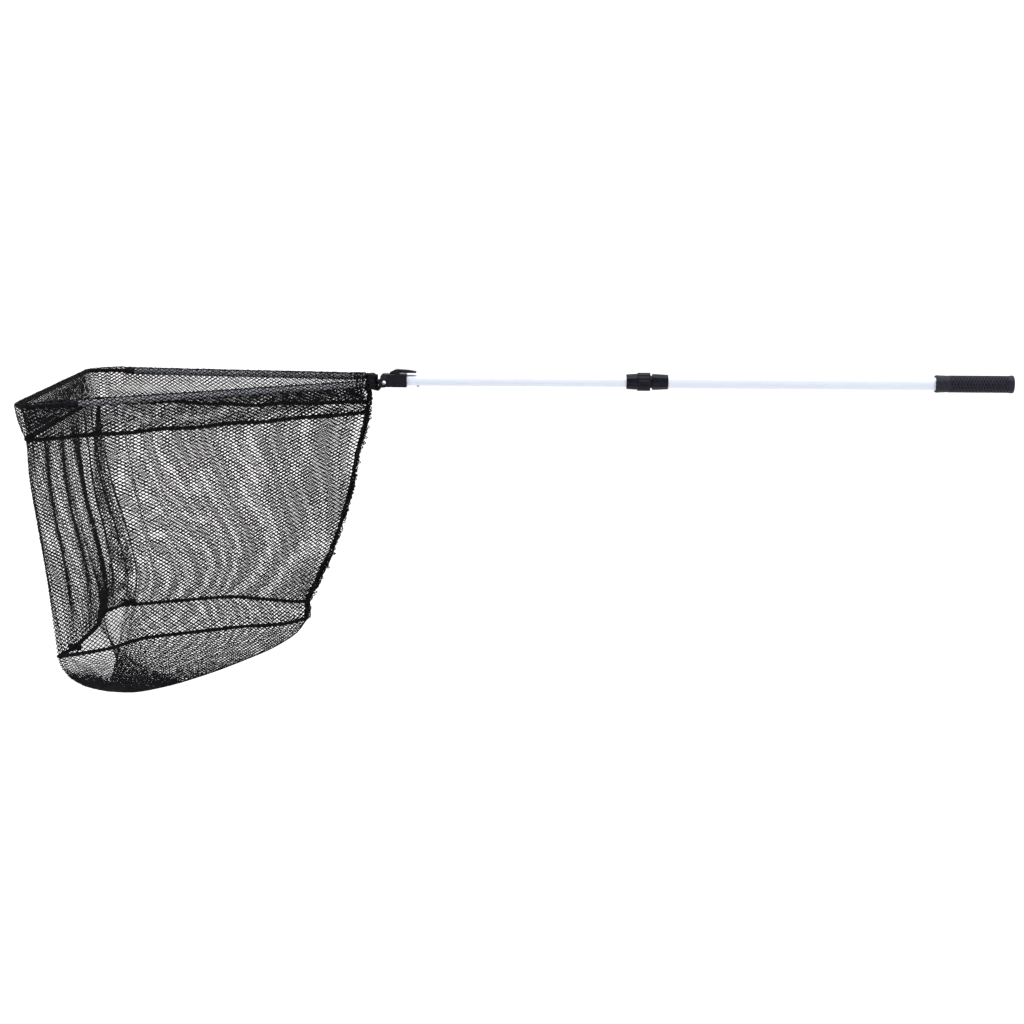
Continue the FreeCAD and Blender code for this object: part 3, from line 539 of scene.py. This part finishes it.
def painted_metal(name, dark, light):
    """Satin paint on drawn tube: faint streaks along it and fine orange peel."""
    material, nodes, links, shader = new_material(name, light, 0.34, Metallic=0.0, Coat_Weight=0.35,
                                                  Coat_Roughness=0.22)
    along = object_coordinates(nodes, links, (6, 240, 240))
    even = object_coordinates(nodes, links, (1, 1, 1))
    streaks = noise(nodes, links, along, 5.0)
    links.new(colour_between(nodes, links, streaks, dark, light), shader.inputs["Base Color"])
    links.new(value_between(nodes, links, streaks, 0.28, 0.42), shader.inputs["Roughness"])
    bump(nodes, links, shader, noise(nodes, links, even, 1400.0, 2.0), 0.12, 0.0004)
    return material


def moulded_plastic(name, dark, light, roughness=0.36):
    """Moulded black plastic: soft mottling, fine spark-eroded texture."""
    material, nodes, links, shader = new_material(name, dark, roughness, Specular_IOR_Level=0.13)
    even = object_coordinates(nodes, links, (1, 1, 1))
    blotches = noise(nodes, links, even, 160.0)
    links.new(colour_between(nodes, links, blotches, dark, light), shader.inputs["Base Color"])
    links.new(value_between(nodes, links, blotches, roughness - 0.06, roughness + 0.1),
              shader.inputs["Roughness"])
    bump(nodes, links, shader, noise(nodes, links, even, 2600.0, 3.0), 0.25, 0.0004)
    return material


def grip_rubber(name):
    """Soft black rubber with a dusty bluish sheen."""
    material, nodes, links, shader = new_material(name, (0.010, 0.010, 0.014), 0.5, Specular_IOR_Level=0.22,
                                                  Sheen_Weight=0.06, Sheen_Roughness=0.4,
                                                  Sheen_Tint=(0.55, 0.62, 0.85, 1))
    even = object_coordinates(nodes, links, (1, 1, 1))
    dust = noise(nodes, links, even, 220.0, 6.0)
    links.new(colour_between(nodes, links, dust, (0.005, 0.005, 0.010), (0.016, 0.016, 0.028)),
              shader.inputs["Base Color"])
    links.new(value_between(nodes, links, dust, 0.45, 0.7), shader.inputs["Roughness"])
    bump(nodes, links, shader, noise(nodes, links, even, 1800.0, 4.0), 0.35, 0.0005)
    return material


def brushed_steel(name):
    material, nodes, links, shader = new_material(name, (0.6, 0.61, 0.63), 0.3, Metallic=1.0)
    lines = object_coordinates(nodes, links, (1, 1, 30))
    grain = noise(nodes, links, lines, 500.0)
    links.new(colour_between(nodes, links, grain, (0.45, 0.46, 0.48), (0.7, 0.71, 0.72)),
              shader.inputs["Base Color"])
    links.new(value_between(nodes, links, grain, 0.22, 0.42), shader.inputs["Roughness"])
    bump(nodes, links, shader, grain, 0.1, 0.0002)
    return material


def fibre(name, dark, light, twist):
    """Twisted or braided fibre: fine diagonal bands along the strand and uneven dye."""
    material, nodes, links, shader = new_material(name, dark, 0.8, Specular_IOR_Level=0.1)
    even = object_coordinates(nodes, links, (1, 1, 1))
    dye = noise(nodes, links, even, 90.0, 5.0)
    links.new(colour_between(nodes, links, dye, dark, light), shader.inputs["Base Color"])
    bands = nodes.new("ShaderNodeTexWave")
    bands.bands_direction = "DIAGONAL"
    bands.inputs["Scale"].default_value = twist
    bands.inputs["Distortion"].default_value = 3.0
    links.new(even, bands.inputs["Vector"])
    bump(nodes, links, shader, bands.outputs["Fac"], 0.4, 0.0003)
    return material


FINISH = {
    "grey_tube": painted_metal("blue_white_paint", (0.64, 0.68, 0.79), (0.70, 0.74, 0.85)),
    "white_tube": painted_metal("white_paint", (0.58, 0.60, 0.65), (0.66, 0.68, 0.73)),
    "black_plastic": moulded_plastic("satin_black_plastic", (0.002, 0.002, 0.005), (0.006, 0.006, 0.012),
                                     0.26),
    "black_rubber": grip_rubber("ribbed_rubber"),
    "steel": brushed_steel("drawn_steel"),
    "black_steel": moulded_plastic("blackened_steel", (0.005, 0.005, 0.007), (0.02, 0.02, 0.024), 0.28),
    "nylon": moulded_plastic("natural_nylon", (0.62, 0.62, 0.58), (0.75, 0.75, 0.7), 0.45),
    "netting": fibre("netting_fibre", (0.002, 0.002, 0.003), (0.008, 0.008, 0.01), 420.0),
    "band_cord": fibre("band_fibre", (0.0015, 0.0015, 0.002), (0.005, 0.005, 0.006), 300.0),
}
for part in frame["record"]["subparts"]:
    shown = frame["nodes"][part["node"]]
    shown.data.materials.clear()
    shown.data.materials.append(FINISH[part["material_slot"]])


# ---------------------------------------------------------------- the bag's pieces
def closing_squash(piece, side):
    """The half bag rides on its arm, with a mesh of its own."""
    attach(piece, side + "_arm")
    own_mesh(piece)


def finish_piece(piece, side, slot, *nodes, stiff=False):
    """Puts a piece on its arm, with a mesh of its own unless it is stiff."""
    if stiff:
        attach(piece, side + "_arm")
    else:
        closing_squash(piece, side)
    if nodes:
        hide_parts(*nodes)


def make_bag_half(side):
    walls = grid_of(side, WALL_ROWS, wall_level)
    net = Tubes()
    add_lattice(net, walls, STRAND * MM)
    finish_piece(net.mesh(side + "_netting", FINISH["netting"]), side, "netting",
                 side + "_net_wall", "front_net_wall")

    if side == "right":
        tuck = Tubes()
        add_lattice(tuck, tuck_grid(), STRAND * MM)
        finish_piece(tuck.mesh("tucked_netting", FINISH["netting"]), side, "netting")

    collar = Tubes()
    for facing in (1, -1):
        add_lattice(collar, collar_grid(side, facing), STRAND * 0.9 * MM)
    finish_piece(collar.mesh(side + "_collar_netting", FINISH["netting"]), side, "netting",
                 side + "_net_collar", "front_net_collar")

    hem = Tubes()
    from_pin, around = np.linspace(HEM_START - 2, HEM_END, 195), np.linspace(0, 2 * math.pi, 13)
    add_lattice(hem, round_arm(side, from_pin, TUBE_RADIUS + 0.4, around), HEM_STRAND * MM)
    away = {"left": 0.0, "right": math.pi}[side] + np.linspace(-2.2, 2.2, 24)
    for ring in round_arm(side, np.array([13, 17.5, 22, 26.5]), TUBE_RADIUS + 1.1, away):
        add_rope(hem, ring, 1.2 * MM, BACK, rough=0.2)
    finish_piece(hem.mesh(side + "_hem_netting", FINISH["netting"]), side, "netting", side + "_hem",
                 stiff=True)

    band = Tubes()
    add_rope(band, band_line(side), 3.0 * MM, (0, 0, 1))
    finish_piece(band.mesh(side + "_band_cord", FINISH["band_cord"]), side, "band_cord",
                 side + "_net_band", "front_net_band")

    foot = pouch_surface(side)
    rows, inside = even_rows(foot, POUCH_PITCH * MM)
    pouch = Tubes()
    front = places(np.arange(COLUMNS + 1))[1]
    thinner = 1 - 0.62 * ramp(-0.02, 0.15, front)
    add_lattice(pouch, rows, thinner[:, None] * STRAND * MM, inside)
    pouch.add(foot[:WALL_STEPS + 1, -1], 0.9 * MM, SIDE, sides=6)
    finish_piece(pouch.mesh(side + "_pouch_netting", FINISH["netting"]), side, "netting", "net_pouch")

    loop = Tubes()
    add_rope(loop, foot[:, 0], 2.8 * MM, (0, 0, 1))
    turn = np.linspace(0, 2 * math.pi, 60)
    tie = np.stack([np.sin(turn) + 2 * np.sin(2 * turn), np.cos(turn) - 2 * np.cos(2 * turn),
                    -np.sin(3 * turn)], 1) * {"left": 2.6, "right": 3.0}[side] * MM
    at = foot[WALL_STEPS + {"left": 14, "right": 0}[side], 0]
    add_rope(loop, at + tie, 3.2 * MM, (0, 0, 1))
    finish_piece(loop.mesh(side + "_loop_cord", FINISH["band_cord"]), side, "band_cord", "loop_band")


def make_bow_half(side):
    rim = resample(rim_half(side), 2 * MM)
    along = lengths(rim) / MM + HEM_START
    rod = rim[along > BOW_START]
    worn = BOW_RADIUS * (1 + 0.02 * np.sin(np.arange(len(rod)) * 0.7)) * MM
    bow = Tubes()
    bow.add(rod, worn, UP, sides=16)
    finish_piece(bow.mesh(side + "_bow", FINISH["black_plastic"]), side, "black_plastic", "front_bow")


def make_seam():
    """The gathered edge at the handle side, with frayed loops of mesh, and the cord round the arm eyes."""
    line = resample(SEAM_LINE[:1] + (guide(SEAM_LINE, np.linspace(0, 1, 120)) - SEAM_LINE[:1]), 1.4 * MM)
    below = lengths(line)[:, None] / MM
    crowd = 1 + 1.6 * np.exp(-below / 26)
    seam = Tubes()
    for k in range(7):
        sway = np.stack([np.convolve(rng.normal(0, 1, len(line) + 24), np.ones(25) / 5, "valid")
                         for _ in range(3)], 1)
        strand = line + sway * [1.5 * MM, 2.4 * MM, 0.4 * MM] * crowd + [0.5 * (k - 5) * MM, 0, 0]
        add_rope(seam, strand, 1.5 * MM, SIDE, pitch=0.007, strands=2, rough=0.2)
    for k in range(0, len(line) - 6):
        start = line[k] + rng.normal(0, 1.2, 3) * MM
        reach = rng.uniform(2.0, 6.0)
        lean = rng.normal(0, 2.0)
        size = [reach * MM, reach * MM * rng.choice([-1, 1]), 3.2 * MM]
        path = start + CURL * size + [0, lean * MM * 0.5, 0]
        seam.add(resample(path, 1.2 * MM), STRAND * MM, SIDE)
    finish_piece(seam.mesh("gathered_seam", FINISH["netting"]), "left", "netting", "net_seam")

    lashing = Tubes()
    for height, start, end in LASHINGS:
        turn = np.linspace(start, end, 50)[:, None]
        wrap = (10.8 + 0.6 * np.sin(5 * turn + height)) * MM
        loose = height + 1.2 * np.sin(3 * turn + height)
        wound = PIN + wrap * (np.cos(turn) * BACK + np.sin(turn) * SIDE) + loose * MM * UP
        add_rope(lashing, wound, 1.7 * MM, UP, pitch=0.008, rough=0.2)
    finish_piece(lashing.mesh("eye_lashing", FINISH["netting"]), "left", "netting", stiff=True)


def make_grip():
    """The rubber grip: a wavy lip, a smooth collar, staggered dimples, and a flared rim at the butt."""
    low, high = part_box("hand_grip")
    start, end = low.x / MM + 5.0, high.x / MM
    around, lines = 128, 360
    turn = np.linspace(0, 2 * math.pi, around, endpoint=False)[None, :]
    x = np.linspace(start, end, lines)[:, None] + 0 * turn
    lip = (1.0 - np.cos(2 * turn) + 0.3 * np.cos(12 * turn)) * (1 - ramp(start, start + 10, x))
    pattern = np.cos(2 * math.pi * x / 4.5) * np.cos(8 * turn)
    dimpled = ramp(start + 20, start + 23, x) * (1 - ramp(end - 9, end - 7, x))
    dimple = 1.9 * ramp(0.0, 0.6, pattern) * dimpled
    flare = 0.55 * ramp(end - 6.5, end - 4.5, x)
    edge = 1.2 * (1 - np.sqrt(1 - (1 - np.clip((end - x) / 1.2, 0, 1)) ** 2))
    swell = 0.45 * np.exp(-((x - start - 3) / 2.5) ** 2) - 0.35 * np.exp(-((x - start - 18) / 3) ** 2)
    radius = 12.45 + flare + swell - dimple - edge
    ends = [(end, 11.55), (end - 7.5, 11.55), (end - 7.6, 9.56), (start + 4, 9.56)]
    rows_x = [x + lip] + [np.full((1, around), value) for value, _ in ends]
    rows_r = [radius] + [np.full((1, around), value) for _, value in ends]
    piece = make_shell("rubber_grip", np.concatenate(rows_x), np.concatenate(rows_r), turn,
                       FINISH["black_rubber"])
    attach(piece, "handle")
    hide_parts("hand_grip")


def bevelled(outline, size=0.35, step=1.4):
    """A closed outline with its corners cut and its long runs divided."""
    outline = np.array(outline, float)
    points = []
    for k, corner in enumerate(outline):
        for other in (outline[k - 1], outline[(k + 1) % len(outline)]):
            run = other - corner
            points.append(corner + run * min(size / np.linalg.norm(run), 0.4))
    points.append(points[0])
    rows = []
    for a, b in zip(points[:-1], points[1:]):
        count = max(1, int(np.linalg.norm(b - a) / step))
        rows += [a + (b - a) * k / count for k in range(count)]
    return np.array(rows)


def make_turned(name, node, body, outline, shape):
    """A turned shell; the outline is (x from the node's low end, radius), and shape scales the radius."""
    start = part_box(node)[0].x / MM
    rows = bevelled(outline)
    turn = np.linspace(0, 2 * math.pi, 180, endpoint=False)[None, :]
    x, radius = rows[:, :1], rows[:, 1:]
    piece = make_shell(name, x + start, radius * shape(x, radius, turn), turn, FINISH["black_plastic"])
    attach(piece, body)
    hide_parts(node)


def facets(turn, count):
    """The radius of a polygon with this many sides, as a share of its corners' radius."""
    part = 2 * math.pi / count
    return math.cos(part / 2) / np.cos(np.mod(turn, part) - part / 2)


def make_lock():
    """The twist lock: a faceted nose and ribbed ring on the nut, and a faceted, tapered body."""
    ring_start, ring_ribs, inner, sleeve_start = 16.2, 12, 9.8, 21.7

    def nut_shape(x, radius, turn):
        part = 2 * math.pi / ring_ribs
        groove = np.exp(-((np.mod(turn, part) - part / 2) / 0.075) ** 2)
        fluted = 1 - 0.075 * groove
        outside = radius > inner
        return np.where(outside, np.where(x < ring_start, facets(turn, 12), fluted), 1.0)

    make_turned("ribbed_lock_nut", "lock_nut", "lock_nut",
                [(0, 8.4), (0, 10.9), (ring_start - 0.3, 11.9), (ring_start, 13.3), (34.6, 13.4), (34.6, 9.5),
                 (3, 9.5), (3, 8.4)], nut_shape)

    def body_shape(x, radius, turn):
        return np.where((radius > inner) & (x > 21), facets(turn, 10), 1.0)

    make_turned("faceted_lock_body", "lock_body", "handle",
                [(0, 8.2), (0, 9.3), (sleeve_start, 9.3), (sleeve_start, 12.2), (44.7, 11.0), (44.7, 9.55),
                 (24.7, 9.55), (24.7, 8.2)], body_shape)


def make_spring():
    """The coil spring under the lever."""
    low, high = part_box("latch_spring")
    wire = 0.35 * MM
    pitch = 1.5 * MM
    middle, radius, height = (low.x + high.x) / 2, (high.x - low.x) / 2 - wire, high.z - low.z - 2 * wire
    turn = np.linspace(0, 2 * math.pi * height / pitch, 160)
    spoke = np.stack([np.cos(turn), np.sin(turn), 0 * turn], 1)
    coil = Tubes()
    coil.add([middle, 0, low.z + wire] + spoke * radius + np.outer(turn / turn[-1], [0, 0, height]), wire,
             spoke, sides=8)
    piece = coil.mesh("coil_spring", FINISH["steel"])
    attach(piece, "inner_pole")
    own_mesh(piece)
    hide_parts("latch_spring")


for side in SIGNS:
    make_bag_half(side)
    make_bow_half(side)
make_seam()
make_grip()
make_lock()
make_spring()


# ---------------------------------------------------------------- floor, light and camera
def make_floor():
    """A plain pale floor, well below the hanging net."""
    floor_height, half = -1.1, 40.0
    verts = [(-half, -half, floor_height), (half, -half, floor_height), (half, half, floor_height),
             (-half, half, floor_height)]
    material = new_material("pale_floor", (0.7, 0.7, 0.7), 0.9, Specular_IOR_Level=0.0)[0]
    floor = make_mesh("floor", verts, [(0, 1, 2, 3)], [], material)


def make_sky():
    """Even light from all round by height: bright above, dimmer towards the horizon, fair from below."""
    world = bpy.data.worlds.new("studio")
    world.use_nodes = True
    nodes, links = world.node_tree.nodes, world.node_tree.links
    direction, height = nodes.new("ShaderNodeTexCoord"), nodes.new("ShaderNodeSeparateXYZ")
    links.new(direction.outputs["Generated"], height.inputs["Vector"])
    strength = nodes.new("ShaderNodeFloatCurve")
    curve = strength.mapping.curves[0]
    curve.points[0].location, curve.points[1].location = (0.0, 0.4), (1.0, 1.0)
    for place in ((0.16, 0.4), (0.3, 0.18), (0.6, 0.22), (0.8, 0.95)):
        curve.points.new(*place)
    strength.mapping.update()
    links.new(height.outputs["Z"], strength.inputs["Value"])
    scaled = nodes.new("ShaderNodeMath")
    scaled.operation = "MULTIPLY"
    scaled.inputs[1].default_value = 2.55
    links.new(strength.outputs["Value"], scaled.inputs[0])
    links.new(scaled.outputs["Value"], nodes["Background"].inputs["Strength"])
    nodes["Background"].inputs["Color"].default_value = (1, 1, 1, 1)
    bpy.context.scene.world = world
    bpy.context.scene.view_settings.view_transform = "Standard"


def add_overhead_light():
    """One wide, soft light from above."""
    lamp = bpy.data.lights.new("overhead", "SUN")
    lamp.energy, lamp.angle = 0.7, math.radians(40)
    light = bpy.data.objects.new("overhead", lamp)
    light.location = (0, 0, 3)
    light.rotation_euler = Vector((0.1, 0.35, -1.0)).to_track_quat("-Z", "Y").to_euler()
    bpy.context.scene.collection.objects.link(light)


def make_camera():
    """Nearly 3 m in front of the net and a little above it, looking slightly down."""
    yaw, pitch, roll = math.radians(0.04), math.radians(8.51), math.radians(-0.41)
    forward = Vector((math.sin(yaw) * math.cos(pitch), math.cos(yaw) * math.cos(pitch), -math.sin(pitch)))
    level = Vector((math.cos(yaw), -math.sin(yaw), 0))
    down = forward.cross(level)
    right = level * math.cos(roll) + down * math.sin(roll)
    below = down * math.cos(roll) - level * math.sin(roll)
    lens = bpy.data.cameras.new("camera")
    lens.lens, lens.sensor_width = 70.3125, 36.0
    lens.clip_start, lens.clip_end = 0.05, 200
    camera = bpy.data.objects.new("camera", lens)
    place = Vector((PIN[0] + 0.203, -2.906, 0.242))
    axes = Matrix((right, -below, -forward)).transposed().to_4x4()
    camera.matrix_world = Matrix.Translation(place) @ axes
    bpy.context.scene.collection.objects.link(camera)
    bpy.context.scene.camera = camera


make_floor()
make_sky()
add_overhead_light()
make_camera()

bpy.context.view_layer.update()
